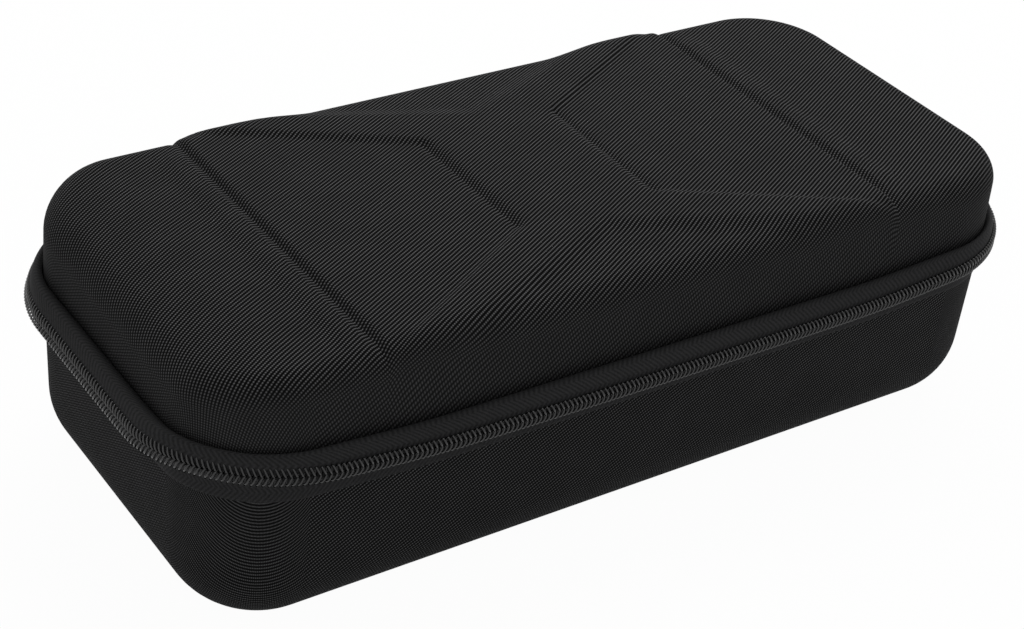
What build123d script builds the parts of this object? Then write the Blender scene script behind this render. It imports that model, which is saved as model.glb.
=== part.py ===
"""Zip-round hard case for a handheld game console, moulded in foam sheet and covered in twill.

Millimetres. +X runs along the case to the right, +Y to the hinge at the back, +Z up.
The origin is the middle of the underside.
"""

import os
from math import radians, tan

from build123d import *

os.makedirs("parts", exist_ok=True)

# Overall sizes, measured over the lip that the zip runs on
case_length = 320.0
case_width = 156.0
zip_height = 65.5
lid_end_height = 93.4

# Moulded shells
wall = 4.0
rim_inset = 9.5
rim_end_reach = 1.0
rim_gap = 6.0
rim_corner_radius = 30.0
base_draft = 1.0
base_edge_radius = 25.0
lid_draft = 1.5
lid_edge_radius = 8.0

# Relief moulded in the lid: a raised bow tie and two panels between cross creases, a little off the middle
relief_place = -3.0
relief_rise = 2.7
relief_slope_width = 5.5
relief_ridge_radius = 6.0
notch_apex_inset = 37.0
notch_slant = 0.43
crease_place = 95.0
crease_width = 5.0
crease_depth = 0.6
panel_rise = 1.6
panel_shoulder = 4.5
panel_short_place = 29.0
panel_short_inset = 51.0
panel_slant = 0.58
panel_lap = 4.5

# Zip: two tapes that bulge out to the lip, and two coil halves on their outer faces
lip_corner_radius = 48.0
lip_bow = 3.7
tape_thickness = 1.0
coil_depth = 2.0
coil_half_width = 3.0
coil_gap = 0.4
bead_rise = 5.5
bead_inset = 5.0
groove_rise = 3.8
tuck_drop = 5.0
leaf_drop = 9.0
leaf_thickness = 0.6
fit_gap = 0.3
hinge_half_length = 100.0

# Zip sliders, parked nose to nose on the right end
slider_length = 12.0
slider_nose_width = 9.6
slider_tail_width = 8.0
slider_plate = 1.4
slider_inner_width = 5.0
slider_bridge = 1.0
slider_bridge_length = 4.0
slider_travel = 15.0
slot_gap = 1.8
arch_radius = 0.8
arch_stand_off = 2.4
arch_post = 1.4
pull_eye_radius = 1.9
pull_clearance = 0.35
pull_width = 7.0
pull_length = 26.0
pull_thickness = 1.8
pull_window_length = 9.0
pull_window_width = 3.6

# Binding tape over the raw rims, inside
binding_thickness = 0.8
binding_depth = 6.0

# Foam cradle in the base
cradle_top = 50.0
cradle_clearance = 0.3
recess_length = 262.0
recess_width = 112.0
recess_corner_radius = 46.0
recess_floor = 14.0

# Strap over the console, closed by hook and loop
strap_width = 38.0
strap_thickness = 1.4
strap_overlap = 46.0
strap_anchor = 5.0
patch_width = 32.0
patch_thickness = 0.9

# Net pocket inside the lid
net_thickness = 1.0
net_rise = 3.0
net_mouth_place = -36.0
elastic_width = 9.0
elastic_thickness = 1.6

# Levels and places that follow
base_rim_height = zip_height - rim_gap / 2
lid_rim_height = zip_height + rim_gap / 2
lid_top_height = lid_end_height + relief_rise
half_length = case_length / 2
half_width = case_width / 2
inner_rim_inset = rim_inset + wall
tape_outer_inset = coil_depth
tape_inner_inset = coil_depth + tape_thickness
slider_slot_half = slider_length + slider_travel + 2 * fit_gap
far = 2 * case_length
back_align = (Align.CENTER, Align.MIN, Align.CENTER)
strap_align = (Align.CENTER, Align.MIN, Align.MIN)


def band_outline(inset, height):
    """Outline of the case at an inset from the lip: bowed and round at the lip, plain at the rims."""
    share = inset / rim_inset
    corner = lip_corner_radius + (rim_corner_radius - lip_corner_radius) * share
    if inset > rim_inset:
        corner = rim_corner_radius - (inset - rim_inset)
    bow = max(lip_bow * (1 - share), 0)
    end = half_length - inset + rim_end_reach * min(share, 1)
    side = half_width - inset
    shoulder = side - bow
    with BuildSketch(Plane.XY.offset(height)) as sketch:
        with BuildLine():
            if bow > 0:
                ThreePointArc((-end, -shoulder), (0, -side), (end, -shoulder))
            else:
                Line((-end, -side), (end, -side))
            Line((end, -shoulder), (end, shoulder))
            if bow > 0:
                ThreePointArc((end, shoulder), (0, side), (-end, shoulder))
            else:
                Line((end, side), (-end, side))
            Line((-end, shoulder), (-end, -shoulder))
        make_face()
        fillet(sketch.vertices(), corner)
    return sketch.sketch


def band(levels):
    """Solid inside the outlines at a list of (inset, height above the zip's middle) levels."""
    sections = [band_outline(inset, zip_height + rise).face() for inset, rise in levels]
    return loft(sections, ruled=True, mode=Mode.PRIVATE)


def back_stretch(half_span):
    """Block over the back of the case, where the hinge takes the zip's place."""
    block = Box(2 * half_span, half_width, far, align=back_align, mode=Mode.PRIVATE)
    return block.moved(Location((0, half_width - rim_corner_radius, 0)))


def slider_slot():
    """Gap between the two coils on the stretch of the right end that the sliders run on."""
    block = Box(far, 2 * slider_slot_half, slot_gap, mode=Mode.PRIVATE)
    return block.moved(Location((far / 2, 0, zip_height)))


def write(piece, name):
    """Label a finished piece and write it to its own file."""
    piece.part.label = name
    export_step(piece.part, f"parts/{name}.step")


def tray(inset, rim, end, draft, edge_radius):
    """Drafted block from the case's outline at a rim height to a rounded flat end above or below it."""
    with BuildPart() as block:
        with BuildSketch(Plane.XY.offset(rim)):
            add(band_outline(inset, 0))
        extrude(amount=end - rim, taper=draft)
        end_face = block.faces().sort_by(Axis.Z)[-1 if end > rim else 0]
        fillet(end_face.edges(), edge_radius)
    return block.part


# Base shell: a deep drafted tray with a generous edge round its foot
with BuildPart() as base_shell:
    add(tray(rim_inset, base_rim_height, 0, base_draft, base_edge_radius))
    add(tray(inner_rim_inset, base_rim_height, wall, base_draft, base_edge_radius - wall), mode=Mode.SUBTRACT)
write(base_shell, "base_shell")


# Lid shell: a shallow drafted tray, with the relief raised from its top
def bow_tie_outline(height, spread):
    """Plan of the raised bow tie, spread by an amount and run past the lid's sides at the four wings."""
    notch_apex = half_width - notch_apex_inset
    notch_far = notch_apex_inset / notch_slant
    panel_corner = half_width - panel_short_inset
    wing_corner = panel_corner + panel_slant * (crease_place - panel_short_place)
    with BuildSketch(Plane((relief_place, 0, height))) as sketch:
        with BuildLine():
            Polyline(
                (0, notch_apex),
                (notch_far, half_width),
                (crease_place, half_width),
                (crease_place, wing_corner),
                (panel_short_place, panel_corner),
                (panel_short_place, 0),
                (0, 0),
                close=True,
            )
        make_face()
        mirror(about=Plane.YZ)
        mirror(about=Plane.XZ)
        offset(amount=spread, kind=Kind.INTERSECTION, mode=Mode.REPLACE)
    return sketch.sketch


def panel_outline(height, crease_end):
    """Plan of the right-hand panel, from under the bow tie's slopes to a place near the crease."""
    near_end = panel_short_place - panel_lap
    near_corner = half_width - panel_short_inset + panel_lap * (1 - panel_slant)
    far_corner = near_corner + panel_slant * (crease_end - near_end)
    with BuildSketch(Plane((relief_place, 0, height))) as sketch:
        with BuildLine():
            Polyline(
                (near_end, near_corner),
                (near_end, -near_corner),
                (crease_end, -far_corner),
                (crease_end, far_corner),
                close=True,
            )
        make_face()
    return sketch.sketch


with BuildPart() as bow_tie:
    root_spread = relief_slope_width * (lid_edge_radius / relief_rise - 1)
    root = bow_tie_outline(lid_top_height - lid_edge_radius, root_spread)
    crown = bow_tie_outline(lid_top_height, -relief_slope_width)
    loft([root.face(), crown.face()], ruled=True)
    fillet(bow_tie.edges().group_by(Axis.Z)[-1], relief_ridge_radius)
    add(tray(rim_inset, lid_rim_height, lid_top_height, lid_draft, lid_edge_radius), mode=Mode.INTERSECT)

with BuildPart() as panels:
    panel_top = lid_end_height + panel_rise
    panel_foot = panel_outline(lid_end_height - crease_depth, crease_place)
    panel_crown = panel_outline(panel_top, crease_place - panel_shoulder)
    loft([panel_foot.face(), panel_crown.face()], ruled=True)
    mirror(about=Plane.YZ.offset(relief_place))
    add(tray(rim_inset, lid_rim_height, panel_top, lid_draft, lid_edge_radius), mode=Mode.INTERSECT)

with BuildPart() as lid_shell:
    add(tray(rim_inset, lid_rim_height, lid_end_height, lid_draft, lid_edge_radius))
    with BuildSketch(Plane.XZ.shift_origin((relief_place, 0, 0))):
        with BuildLine():
            Polyline(
                (crease_place, lid_end_height + crease_depth),
                (crease_place, lid_end_height - crease_depth),
                (crease_place + crease_width, lid_end_height),
                (crease_place + crease_width, lid_end_height + crease_depth),
                close=True,
            )
        make_face()
        mirror(about=Plane.YZ)
    extrude(amount=half_width, both=True, mode=Mode.SUBTRACT)
    add(panels.part)
    add(bow_tie.part)
    lid_ceiling = lid_end_height - wall
    lid_hollow = tray(inner_rim_inset, lid_rim_height, lid_ceiling, lid_draft, lid_edge_radius - wall)
    add(lid_hollow, mode=Mode.SUBTRACT)
write(lid_shell, "lid_shell")

# Zip tapes: woven bands that leave the rims, bulge out and carry the coils at the lip
seam_inset = rim_inset - fit_gap
lid_tape_outer = [
    (tape_outer_inset, coil_gap / 2),
    (tape_outer_inset, coil_half_width),
    (bead_inset, bead_rise),
]
lid_tape_hollow = [
    (tape_inner_inset, coil_gap / 2),
    (tape_inner_inset, coil_half_width),
    (bead_inset, bead_rise - tape_thickness),
]
with BuildPart() as lid_zip_tape:
    add(band(lid_tape_outer))
    add(band([(seam_inset, groove_rise), (bead_inset, bead_rise)]), mode=Mode.SUBTRACT)
    hollow_roof = band([(seam_inset, groove_rise - tape_thickness), (bead_inset, bead_rise - tape_thickness)])
    add(band(lid_tape_hollow) - hollow_roof, mode=Mode.SUBTRACT)
    add(band([(seam_inset, 0), (seam_inset, bead_rise)]), mode=Mode.SUBTRACT)
    add(back_stretch(hinge_half_length), mode=Mode.SUBTRACT)
    add(slider_slot(), mode=Mode.SUBTRACT)
write(lid_zip_tape, "lid_zip_tape")

leaf_inset = seam_inset - leaf_thickness
base_tape_outer = [
    (seam_inset, -tuck_drop),
    (tape_outer_inset, -coil_half_width),
    (tape_outer_inset, -coil_gap / 2),
]
base_tape_hollow = [
    (seam_inset, tape_thickness - tuck_drop),
    (tape_inner_inset, -coil_half_width),
    (tape_inner_inset, -coil_gap / 2),
]
with BuildPart() as base_zip_tape:
    add(band(base_tape_outer))
    add(band(base_tape_hollow), mode=Mode.SUBTRACT)
    add(band([(leaf_inset, -leaf_drop), (leaf_inset, leaf_thickness - tuck_drop)]))
    add(band([(seam_inset, -leaf_drop), (seam_inset, 0)]), mode=Mode.SUBTRACT)
    add(back_stretch(hinge_half_length), mode=Mode.SUBTRACT)
    add(slider_slot(), mode=Mode.SUBTRACT)
write(base_zip_tape, "base_zip_tape")

# Coil halves: the rows of loops, as one bead each
for coil_name, side in (("lid_zip_coil", 1), ("base_zip_coil", -1)):
    low, high = sorted((side * coil_gap / 2, side * coil_half_width))
    with BuildPart() as coil:
        add(band([(0, low), (0, high)]))
        add(band([(coil_depth, low), (coil_depth, high)]), mode=Mode.SUBTRACT)
        add(back_stretch(hinge_half_length), mode=Mode.SUBTRACT)
        add(slider_slot(), mode=Mode.SUBTRACT)
    write(coil, coil_name)

# Hinge strip: the cloth band that joins base and lid along the back
hinge_outer = [
    (seam_inset, -tuck_drop),
    (tape_outer_inset, -coil_half_width),
    (tape_outer_inset, coil_half_width),
    (seam_inset, tuck_drop),
]
hinge_inner = [
    (seam_inset, tape_thickness - tuck_drop),
    (tape_inner_inset, -coil_half_width),
    (tape_inner_inset, coil_half_width),
    (seam_inset, tuck_drop - tape_thickness),
]
with BuildPart() as hinge_strip:
    add(band(hinge_outer))
    add(band(hinge_inner), mode=Mode.SUBTRACT)
    add(band([(seam_inset, -tuck_drop), (seam_inset, tuck_drop)]), mode=Mode.SUBTRACT)
    add(back_stretch(hinge_half_length - fit_gap), mode=Mode.INTERSECT)
write(hinge_strip, "hinge_strip")

# Rim bindings: grosgrain folded over the raw edge of each shell
for binding_name, side, draft in (("base_rim_binding", -1, base_draft), ("lid_rim_binding", 1, lid_draft)):
    lean = binding_depth * tan(radians(draft))
    cloth_inset = inner_rim_inset + lean + binding_thickness
    edge = side * rim_gap / 2
    cap_low, cap_high = sorted((edge, edge - side * binding_thickness))
    leaf_low, leaf_high = sorted((edge - side * binding_thickness, edge + side * binding_depth))
    with BuildPart() as binding:
        add(band([(rim_inset, cap_low), (rim_inset, cap_high)]))
        add(band([(cloth_inset - binding_thickness, leaf_low), (cloth_inset - binding_thickness, leaf_high)]))
        add(band([(cloth_inset, leaf_low), (cloth_inset, leaf_high)]), mode=Mode.SUBTRACT)
    write(binding, binding_name)

# Sliders and pulls: one pair towards the front, one towards the back
for place, side in (("front", -1), ("rear", 1)):
    nose = side * fit_gap
    tail = side * (fit_gap + slider_length)
    middle = (nose + tail) / 2
    outer_face = half_length + fit_gap
    inner_face = half_length - tape_inner_inset - fit_gap
    arch_place = outer_face + slider_plate + arch_stand_off
    arch_near = nose + side * arch_post
    arch_far = tail - side * arch_post
    with BuildPart() as slider:
        with BuildSketch(Plane.YZ.offset(outer_face)) as plate:
            with BuildLine():
                Polyline(
                    (nose, zip_height - slider_nose_width / 2),
                    (nose, zip_height + slider_nose_width / 2),
                    (tail, zip_height + slider_tail_width / 2),
                    (tail, zip_height - slider_tail_width / 2),
                    close=True,
                )
            make_face()
            fillet(plate.vertices(), slider_plate)
        extrude(amount=slider_plate)
        with BuildSketch(Plane.YZ.offset(inner_face)) as inner_plate:
            with Locations((middle, zip_height)):
                RectangleRounded(slider_length, slider_inner_width, slider_plate)
        extrude(amount=-slider_plate)
        with BuildSketch(Plane.YZ.offset(inner_face)):
            with Locations((nose + side * slider_bridge_length, zip_height)):
                SlotOverall(slider_bridge_length, slider_bridge)
        extrude(amount=outer_face - inner_face)
        with BuildSketch(Plane.YZ.offset(outer_face)):
            with Locations((middle, zip_height - coil_half_width - fit_gap - slider_plate / 2)):
                Rectangle(slider_length - 2 * slider_plate, slider_plate / 2)
        extrude(amount=-coil_depth / 2)
        with BuildSketch(Plane.YZ.offset(outer_face + slider_plate)):
            with Locations((arch_near, zip_height), (arch_far, zip_height)):
                Rectangle(arch_post, 2 * arch_radius)
        extrude(amount=arch_stand_off)
        with BuildSketch(Plane.XZ.offset(-min(arch_near, arch_far) + arch_post / 2)):
            with Locations((arch_place, zip_height)):
                Circle(arch_radius)
        extrude(amount=-(abs(arch_far - arch_near) + arch_post))
    write(slider, f"{place}_slider")

    eye_length = abs(arch_far - arch_near) - arch_post - 2 * fit_gap
    with BuildPart() as pull:
        with BuildSketch(Plane.XZ.offset(-middle)):
            with Locations((arch_place, zip_height)):
                Circle(pull_eye_radius)
        extrude(amount=eye_length / 2, both=True)
        with BuildSketch(Plane.YZ.offset(arch_place)) as tab:
            with Locations((middle, zip_height - pull_length / 2)):
                RectangleRounded(pull_width, pull_length, pull_width / 2 - fit_gap)
            with Locations((middle, zip_height)):
                Rectangle(pull_width, pull_window_length, mode=Mode.SUBTRACT)
            with Locations((middle, zip_height - pull_window_length / 2)):
                Rectangle(eye_length, pull_window_length)
            with Locations((middle, zip_height - pull_length + pull_window_length)):
                SlotOverall(pull_window_length, pull_window_width, rotation=90, mode=Mode.SUBTRACT)
        extrude(amount=pull_thickness / 2, both=True)
        with BuildSketch(Plane.XZ.offset(-middle)):
            with Locations((arch_place, zip_height)):
                Circle(arch_radius + pull_clearance)
        extrude(amount=pull_width, both=True, mode=Mode.SUBTRACT)
    write(pull, f"{place}_pull")

# Console cradle: a foam block that fills the base, with a rounded recess
cradle_lean = (base_rim_height - cradle_top) * tan(radians(base_draft))
cradle_floor = wall + cradle_clearance
with BuildPart() as console_cradle:
    block_inset = inner_rim_inset + cradle_clearance + cradle_lean
    add(tray(block_inset, cradle_top, cradle_floor, base_draft, base_edge_radius - wall))
    with BuildSketch(Plane.XY.offset(cradle_top)):
        RectangleRounded(recess_length, recess_width, recess_corner_radius)
    extrude(amount=recess_floor - cradle_top, mode=Mode.SUBTRACT)
write(console_cradle, "console_cradle")

# Strap over the console: a front half and a rear half, joined by a hook patch on a loop patch
strap_seat = cradle_top + fit_gap
loop_seat = strap_seat + strap_thickness
hook_seat = loop_seat + patch_thickness
rear_seat = hook_seat + patch_thickness
strap_half_span = recess_width / 2 + strap_anchor
with BuildPart() as strap_front:
    with Locations((0, -strap_half_span, strap_seat)):
        Box(strap_width, strap_half_span + strap_overlap / 2, strap_thickness, align=strap_align)
write(strap_front, "strap_front")

with BuildPart() as strap_loop_patch:
    with Locations((0, -strap_overlap / 2, loop_seat)):
        Box(patch_width, strap_overlap, patch_thickness, align=strap_align)
write(strap_loop_patch, "strap_loop_patch")

with BuildPart() as strap_hook_patch:
    with Locations((0, -strap_overlap / 2, hook_seat)):
        Box(patch_width, strap_overlap, patch_thickness, align=strap_align)
write(strap_hook_patch, "strap_hook_patch")

with BuildPart() as strap_rear:
    with BuildSketch(Plane.YZ.offset(-strap_width / 2)):
        with BuildLine():
            Polyline(
                (-strap_overlap / 2, rear_seat),
                (strap_overlap / 2, rear_seat),
                (strap_half_span - strap_anchor, strap_seat),
                (strap_half_span, strap_seat),
                (strap_half_span, strap_seat + strap_thickness),
                (strap_half_span - strap_anchor, strap_seat + strap_thickness),
                (strap_overlap / 2, rear_seat + strap_thickness),
                (-strap_overlap / 2, rear_seat + strap_thickness),
                close=True,
            )
        make_face()
    extrude(amount=strap_width)
write(strap_rear, "strap_rear")

# Net pocket: a flat net across the lid, sewn in round three sides, with an elastic along its mouth
net_height = lid_rim_height + net_rise
net_inset = inner_rim_inset + binding_depth * tan(radians(lid_draft)) + binding_thickness + fit_gap
with BuildPart() as lid_net:
    with BuildSketch(Plane.XY.offset(net_height)):
        add(band_outline(net_inset, 0))
        with Locations((0, net_mouth_place)):
            Rectangle(case_length, case_width, align=(Align.CENTER, Align.MAX), mode=Mode.SUBTRACT)
    extrude(amount=net_thickness)
write(lid_net, "lid_net")

with BuildPart() as net_elastic:
    with BuildSketch(Plane.XY.offset(net_height)):
        add(band_outline(net_inset, 0))
        with Locations((0, net_mouth_place)):
            Rectangle(case_length, elastic_width, align=(Align.CENTER, Align.MAX), mode=Mode.INTERSECT)
    extrude(amount=elastic_thickness)
write(net_elastic, "net_elastic")
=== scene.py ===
"""Looks of a zip-round hard case for a handheld game console.

Metres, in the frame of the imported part: +X along the case to the right, +Y to the hinge, +Z up.
"""

import math

import bmesh
import bpy
import numpy as np
from mathutils import Matrix, Vector


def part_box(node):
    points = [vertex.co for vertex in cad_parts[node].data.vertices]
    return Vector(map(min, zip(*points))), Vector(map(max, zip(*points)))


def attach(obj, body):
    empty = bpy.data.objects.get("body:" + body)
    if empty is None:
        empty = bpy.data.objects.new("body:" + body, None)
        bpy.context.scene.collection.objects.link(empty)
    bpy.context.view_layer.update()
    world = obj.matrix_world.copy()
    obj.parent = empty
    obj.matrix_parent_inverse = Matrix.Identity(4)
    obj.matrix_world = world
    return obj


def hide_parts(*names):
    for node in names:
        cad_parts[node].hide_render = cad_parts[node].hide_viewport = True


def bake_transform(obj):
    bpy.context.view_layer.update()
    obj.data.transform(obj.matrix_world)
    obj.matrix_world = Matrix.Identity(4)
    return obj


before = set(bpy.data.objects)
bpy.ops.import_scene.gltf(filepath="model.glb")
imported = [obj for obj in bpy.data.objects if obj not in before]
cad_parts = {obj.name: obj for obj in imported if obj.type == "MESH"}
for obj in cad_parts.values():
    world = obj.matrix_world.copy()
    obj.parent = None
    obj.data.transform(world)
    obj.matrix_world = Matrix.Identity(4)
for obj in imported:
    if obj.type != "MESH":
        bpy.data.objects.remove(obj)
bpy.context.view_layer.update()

mm = 0.001

# Places read from the frame
coil_low, coil_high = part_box("base_zip_coil")
base_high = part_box("base_shell")[1]
lid_low, lid_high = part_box("lid_shell")
cradle_low, cradle_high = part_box("console_cradle")
half_length = coil_high.x
half_width = -coil_low.y
base_rim = base_high.z
lid_rim = lid_low.z
zip_height = (base_rim + lid_rim) / 2
rim_inset = half_width - lid_high.y
end_reach = lid_high.x + rim_inset - half_length

# Outline of the case: rounder and slightly bowed at the lip, plain at the rims
lip_corner = 48 * mm
rim_corner = 30 * mm
lip_bow = 3.7 * mm
straight_bow = 0.001 * mm
core_inset = rim_inset + rim_corner
hinge_half_length = 100 * mm
fit_gap = 0.3 * mm

# Moulded shells
wall = 4 * mm
base_draft = math.radians(1.0)
base_edge = 25 * mm
lid_draft = math.radians(1.5)
lid_edge = 8 * mm
rim_roll = 0.6 * mm

# How moulding drew the cloth: its length on the lid's wall and edge, and how faint its ribs are upright. The
# same amounts paint shade on the upright walls, more on the lid than on the base.
lid_wall_stretch = 1.3
lid_edge_stretch = 0.95
lid_draw_and_shade = 1.0
base_draw_and_shade = 0.4

# Relief of the lid: a bow tie with a notch at the front and back, two panels and two cross creases
relief_place = -3 * mm
relief_rise = 2.7 * mm
relief_blend = 0.5 * mm
notch_apex = 38.3 * mm
notch_slant = 0.43
notch_sill = 1.3 * mm
notch_slope_near = 8 * mm
notch_slope_far = 12 * mm
panel_rise = 1.3 * mm
panel_short = 25.8 * mm
panel_corner = 28.8 * mm
panel_slant = 0.58
panel_groove_depth = 0.6 * mm
panel_groove_width = 1.7 * mm
panel_slope = 4.5 * mm
swell_width = 6.5 * mm
crease_place = 95 * mm
crease_depth = 0.65 * mm
crease_width = 1.6 * mm
crease_bead_rise = 0.35 * mm
crease_bead_place = 3 * mm
crease_bead_width = 1.2 * mm
crease_ridge_rise = 0.9 * mm
crease_ridge_place = 6 * mm
crease_ridge_width = 4 * mm
crease_bead_run_out = 16 * mm
crease_fade = 4 * mm
shoulder_width = 6.5 * mm
left_end_fall = 2.4 * mm
left_fall_place = 122 * mm
left_fall_run = 20 * mm
lid_end_height = lid_high.z - relief_rise

# Zip: it hangs a little along the front and at the left end. Its lower half turns under along the front,
# and both halves lie back at the left end.
tape_thickness = 0.9 * mm
zip_sag = 2.4 * mm
zip_sag_reach = 135 * mm
zip_sag_ease = 60 * mm
left_sag = 2.4 * mm
left_sag_start = 100 * mm
left_sag_front = 62 * mm
left_sag_ease = 40 * mm
front_tuck = math.radians(5)
left_lower_tilt = math.radians(12)
left_upper_tilt = math.radians(22)
coil_pitch = 1.6 * mm
coil_wire = 0.34 * mm
coil_depth = 2 * mm
coil_reach = 2.7 * mm
coil_overlap = 0.7 * mm
coil_lean = math.radians(17)
slot_half = 34 * mm
slot_shift = 1.05 * mm
slot_ease = 8 * mm

# Interior
binding_thickness = 0.8 * mm
binding_depth = 6 * mm
recess_half_length = 131 * mm
recess_half_width = 56 * mm
recess_corner = 46 * mm
recess_floor = 14 * mm
cradle_rim_round = 2 * mm
cradle_mouth_round = 5 * mm
cradle_cove = 6 * mm
net_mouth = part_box("net_elastic")[1].y
net_cell = 3.4 * mm
net_strand = 0.45 * mm
elastic_thickness = 1.0 * mm
elastic_gathers = 60
stitch_length = 2.6 * mm
stitch_gap = 0.7 * mm
stitch_thread = 0.28 * mm
stitch_inset = 2.4 * mm

# Mesh spacings on the lid, which carries the finest relief
lid_coarse_step = 0.95 * mm
lid_fine_step = 0.45 * mm
lid_fine_reach = 5 * mm
lid_rows = np.linspace(-1, 1, 132)
lid_corner_steps = 22


# Mesh helpers


def new_piece(name, mesh, *materials):
    """Object for a finished mesh, linked into the scene."""
    piece = bpy.data.objects.new(name, mesh)
    bpy.context.scene.collection.objects.link(piece)
    for material in materials:
        mesh.materials.append(material)
    return piece


def finish_piece(piece, body, slot, *nodes):
    """Ride a piece on its body and hide the CAD nodes that it stands for; the slot is not used."""
    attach(piece, body)
    if nodes:
        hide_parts(*nodes)
    return piece


def outline(inset, steps, opening=0.0):
    """Points and outward normals round the case at an inset from the lip, counter-clockwise from the back.

    steps are the counts on a long side, an end and a corner. An opening leaves out that half
    length each side of the back's middle; with none, the outline is a closed loop.
    """
    long_steps, end_steps, corner_steps = steps
    share = min(inset / rim_inset, 1)
    corner = lip_corner + (rim_corner - lip_corner) * share - max(inset - rim_inset, 0)
    bow = max(lip_bow * (1 - share), straight_bow)
    end = half_length - inset + end_reach * share
    side = half_width - inset
    arc = (end ** 2 + bow ** 2) / (2 * bow)
    centre = side - arc
    corner_x = end - corner
    corner_y = centre + math.sqrt((arc - corner) ** 2 - corner_x ** 2)
    lean = math.asin(corner_x / (arc - corner))
    first = math.asin(opening / arc)
    right = math.pi / 2
    points = []
    normals = []

    def add_arc(centre_x, centre_y, radius, start, stop, count):
        angles = np.linspace(start, stop, count, endpoint=False)
        direction = np.stack([np.cos(angles), np.sin(angles)], axis=1)
        normals.append(direction)
        points.append(np.array([centre_x, centre_y]) + radius * direction)

    def add_line(x, start, stop, normal, count):
        along = np.linspace(start, stop, count, endpoint=False)
        points.append(np.stack([np.full(count, x), along], axis=1))
        normals.append(np.tile(normal, (count, 1)))

    add_arc(0, centre, arc, right + first, right + lean, long_steps // 2)
    add_arc(-corner_x, corner_y, corner, right + lean, 2 * right, corner_steps)
    add_line(-end, corner_y, -corner_y, (-1.0, 0.0), end_steps)
    add_arc(-corner_x, -corner_y, corner, 2 * right, 3 * right - lean, corner_steps)
    add_arc(0, -centre, arc, 3 * right - lean, 3 * right + lean, long_steps)
    add_arc(corner_x, -corner_y, corner, 3 * right + lean, 4 * right, corner_steps)
    add_line(end, -corner_y, corner_y, (1.0, 0.0), end_steps)
    add_arc(corner_x, corner_y, corner, 0, right - lean, corner_steps)
    add_arc(0, centre, arc, right - lean, right - first, long_steps // 2)
    if opening:
        add_arc(0, centre, arc, right - first, right, 1)
    return np.concatenate(points), np.concatenate(normals)


def rounded_rectangle(half_x, half_y, corner, steps):
    """Closed loop of a plain rounded rectangle, with its points in the same order as outline()."""
    long_steps, end_steps, corner_steps = steps
    x = half_x - corner
    y = half_y - corner
    half_steps = long_steps // 2
    corners = []
    for centre_x, centre_y, start in ((-x, y, 0.5), (-x, -y, 1.0), (x, -y, 1.5), (x, y, 0.0)):
        angles = math.pi * np.linspace(start, start + 0.5, corner_steps, endpoint=False)
        corners.append(np.stack([centre_x + corner * np.cos(angles), centre_y + corner * np.sin(angles)], 1))
    back_start = np.stack([np.linspace(0, -x, half_steps, endpoint=False), np.full(half_steps, half_y)], 1)
    left = np.stack([np.full(end_steps, -half_x), np.linspace(y, -y, end_steps, endpoint=False)], 1)
    front = np.stack([np.linspace(-x, x, long_steps, endpoint=False), np.full(long_steps, -half_y)], 1)
    back_end = np.stack([np.linspace(x, 0, half_steps, endpoint=False), np.full(half_steps, half_y)], 1)
    back_left, front_left, front_right, back_right = corners
    return np.concatenate(
        [back_start, back_left, left, front_left, front, front_right, -left, back_right, back_end]
    )


def at_height(plan, height):
    """Plan points with a height."""
    return np.column_stack([plan, np.broadcast_to(height, len(plan))])


def patch_mesh(name, patches, fills=()):
    """Mesh of patches and flat fills, with weave coordinates in metres and a material index for each.

    A patch is rows of points, their weave coordinates, whether each row closes on itself, and its
    material's index. A fill is one loop of points, their weave coordinates and its material's index.
    """
    points, faces, corners, finishes = [], [], [], []
    start = 0
    for rows, weave, closed, finish in patches:
        row_count, around = rows.shape[:2]
        columns = around if closed else around - 1
        row, column = np.meshgrid(np.arange(row_count - 1), np.arange(columns), indexing="ij")
        following = (column + 1) % around
        wrapped = column + 1 if weave.shape[1] > around else following
        quads = np.stack(
            [
                row * around + column,
                row * around + following,
                (row + 1) * around + following,
                (row + 1) * around + column,
            ],
            axis=-1,
        )
        faces += (start + quads.reshape(-1, 4)).tolist()
        laid = [weave[row, column], weave[row, wrapped], weave[row + 1, wrapped], weave[row + 1, column]]
        corners.append(np.stack(laid, axis=2).reshape(-1, 2))
        finishes += [finish] * quads[..., 0].size
        points.append(rows.reshape(-1, 3))
        start += row_count * around
    for loop, weave, finish in fills:
        faces.append(list(range(start, start + len(loop))))
        corners.append(weave)
        finishes.append(finish)
        points.append(loop)
        start += len(loop)
    mesh = bpy.data.meshes.new(name)
    mesh.from_pydata(np.concatenate(points).tolist(), [], faces)
    layer = mesh.uv_layers.new(name="weave")
    layer.data.foreach_set("uv", np.concatenate(corners).astype(np.float32).ravel())
    mesh.polygons.foreach_set("material_index", np.array(finishes, np.int32))
    mesh.polygons.foreach_set("use_smooth", np.ones(len(faces), bool))
    close_seams(mesh)
    return mesh


def close_seams(mesh):
    """Merge points that meet, drop faces that have no area and turn all faces outwards."""
    seam = 0.005 * mm
    sliver = 0.002 * mm
    work = bmesh.new()
    work.from_mesh(mesh)
    bmesh.ops.remove_doubles(work, verts=work.verts, dist=seam)
    bmesh.ops.dissolve_degenerate(work, edges=work.edges, dist=sliver)
    bmesh.ops.recalc_face_normals(work, faces=work.faces)
    work.to_mesh(mesh)
    work.free()


def drafted_profile(inset, rim, end, draft, edge, wall_steps, edge_steps):
    """Insets and heights from a rim up or down a drafted wall and round its edge to the flat end."""
    side = 1 if end > rim else -1
    edge_centre = end - side * edge
    foot = inset + abs(edge_centre - rim) * math.tan(draft) + edge / math.cos(draft)
    angles = np.linspace(draft, math.pi / 2, edge_steps)
    arc_insets = foot - edge * np.cos(angles)
    arc_heights = edge_centre + side * edge * np.sin(angles)
    wall_insets = np.linspace(inset, arc_insets[0], wall_steps, endpoint=False)
    wall_heights = np.linspace(rim, arc_heights[0], wall_steps, endpoint=False)
    return np.append(wall_insets, arc_insets), np.append(wall_heights, arc_heights)


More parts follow.
